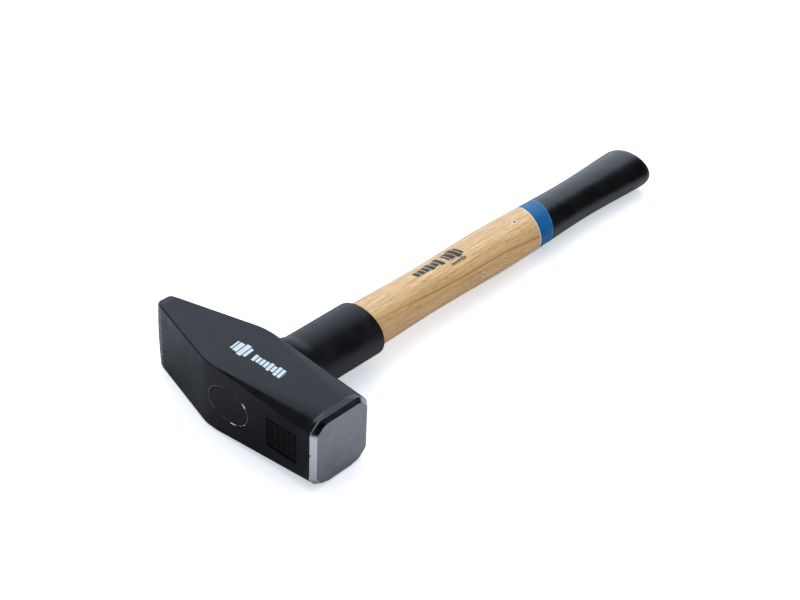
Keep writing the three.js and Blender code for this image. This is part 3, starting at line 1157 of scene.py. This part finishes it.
def white_table():
    material, tree, shader = new_finish("white table")[:3]
    place = put(tree, "TexCoord").outputs["Object"]
    cloudy = cloud(tree, place, 3.0, 2.0)
    color = mix(tree, cloudy, grey(0.93), grey(0.95))
    rough = ease(tree, cloudy, 0.3, 0.7, 0.16, 0.2)

    # The hammer's glossy sides see the table darker than it is, and darkest just by the head.
    seen = put(tree, "LightPath").outputs
    x = put(tree, "SeparateXYZ", {0: place}).outputs["X"]
    left_light = ease(tree, x, -0.13, -0.07, 0.8, 0.0)
    right_light = ease(tree, x, -0.08, 0.14)
    lit = calc(tree, "MAXIMUM", left_light, right_light)
    reflected = mix(tree, lit, (0.33, 0.35, 0.38, 1), (0.66, 0.69, 0.73, 1))
    by_head = (0.03, -0.23, 0)
    from_shade = put(tree, "VectorMath", {0: place, 1: by_head}, operation="DISTANCE")
    shade = ease(tree, from_shade.outputs["Value"], 0.015, 0.08, 0.75, 0.0)
    reflected = mix(tree, shade, reflected, grey(0))
    color = mix(tree, seen["Is Glossy Ray"], color, reflected)
    link_finish(tree, shader, color, rough)

    # The camera sees it glow a little, up to the white of a bright backdrop.
    glow = mix(tree, seen["Is Camera Ray"], grey(0), (0.43, 0.45, 0.475, 1))
    tree.links.new(glow, shader.inputs["Emission Color"])
    shader.inputs["Emission Strength"].default_value = 1.0
    return material


table.data.materials.append(white_table())

world = bpy.data.worlds.new("even room light")
bpy.context.scene.world = world
world.use_nodes = True
world.node_tree.nodes["Background"].inputs["Color"].default_value = (0.74, 0.76, 0.8, 1)
world.cycles_visibility.glossy = False


def soft_light(name, toward, distance, width, height, brightness, color, shines=True):
    """An area light of a given brightness, out along toward from the head, facing the hammer."""
    light = bpy.data.lights.new(name, "AREA")
    light.shape = "RECTANGLE"
    light.size, light.size_y = width, height
    light.energy = brightness * math.pi * width * height
    light.color = color
    lamp = bpy.data.objects.new(name, light)
    bpy.context.scene.collection.objects.link(lamp)
    out = Vector(toward).normalized()
    lamp.location = out * distance
    lamp.rotation_mode = "QUATERNION"
    lamp.rotation_quaternion = out.to_track_quat("Z", "Y")
    lamp.visible_glossy = shines


soft_light("back left softbox", (-0.64, 0.62, 0.42), 2.2, 2.5, 2.4, 1.08, (0.82, 0.93, 1.08))
soft_light("fill from above", (-0.3, 0.2, 1.0), 2.5, 2.5, 2.5, 1.1, (1.0, 1.0, 1.0), shines=False)

camera_data = bpy.data.cameras.new("camera")
camera_data.lens = 73.98
camera_data.sensor_width = 36.0
camera_data.clip_start, camera_data.clip_end = 0.05, 50.0
camera = bpy.data.objects.new("camera", camera_data)
bpy.context.scene.collection.objects.link(camera)
camera_at = Vector((0.5551, -0.5293, 0.5978))
upright = Vector((-0.406, 0.4007, 0.8213))
looking = Vector((-0.5318, 0.6270, -0.5693))
to_right = looking.cross(upright).normalized()
turn_down, turn_left = 0.0003, 0.0004
looking = (looking - upright * turn_down - to_right * turn_left).normalized()
to_right = looking.cross(upright).normalized()
upright = to_right.cross(looking)
camera_turn = Matrix((to_right, upright, -looking)).transposed().to_4x4()
camera.matrix_world = laid_down @ Matrix.Translation(camera_at) @ camera_turn
bpy.context.scene.camera = camera
bpy.context.scene.view_settings.view_transform = "Standard"
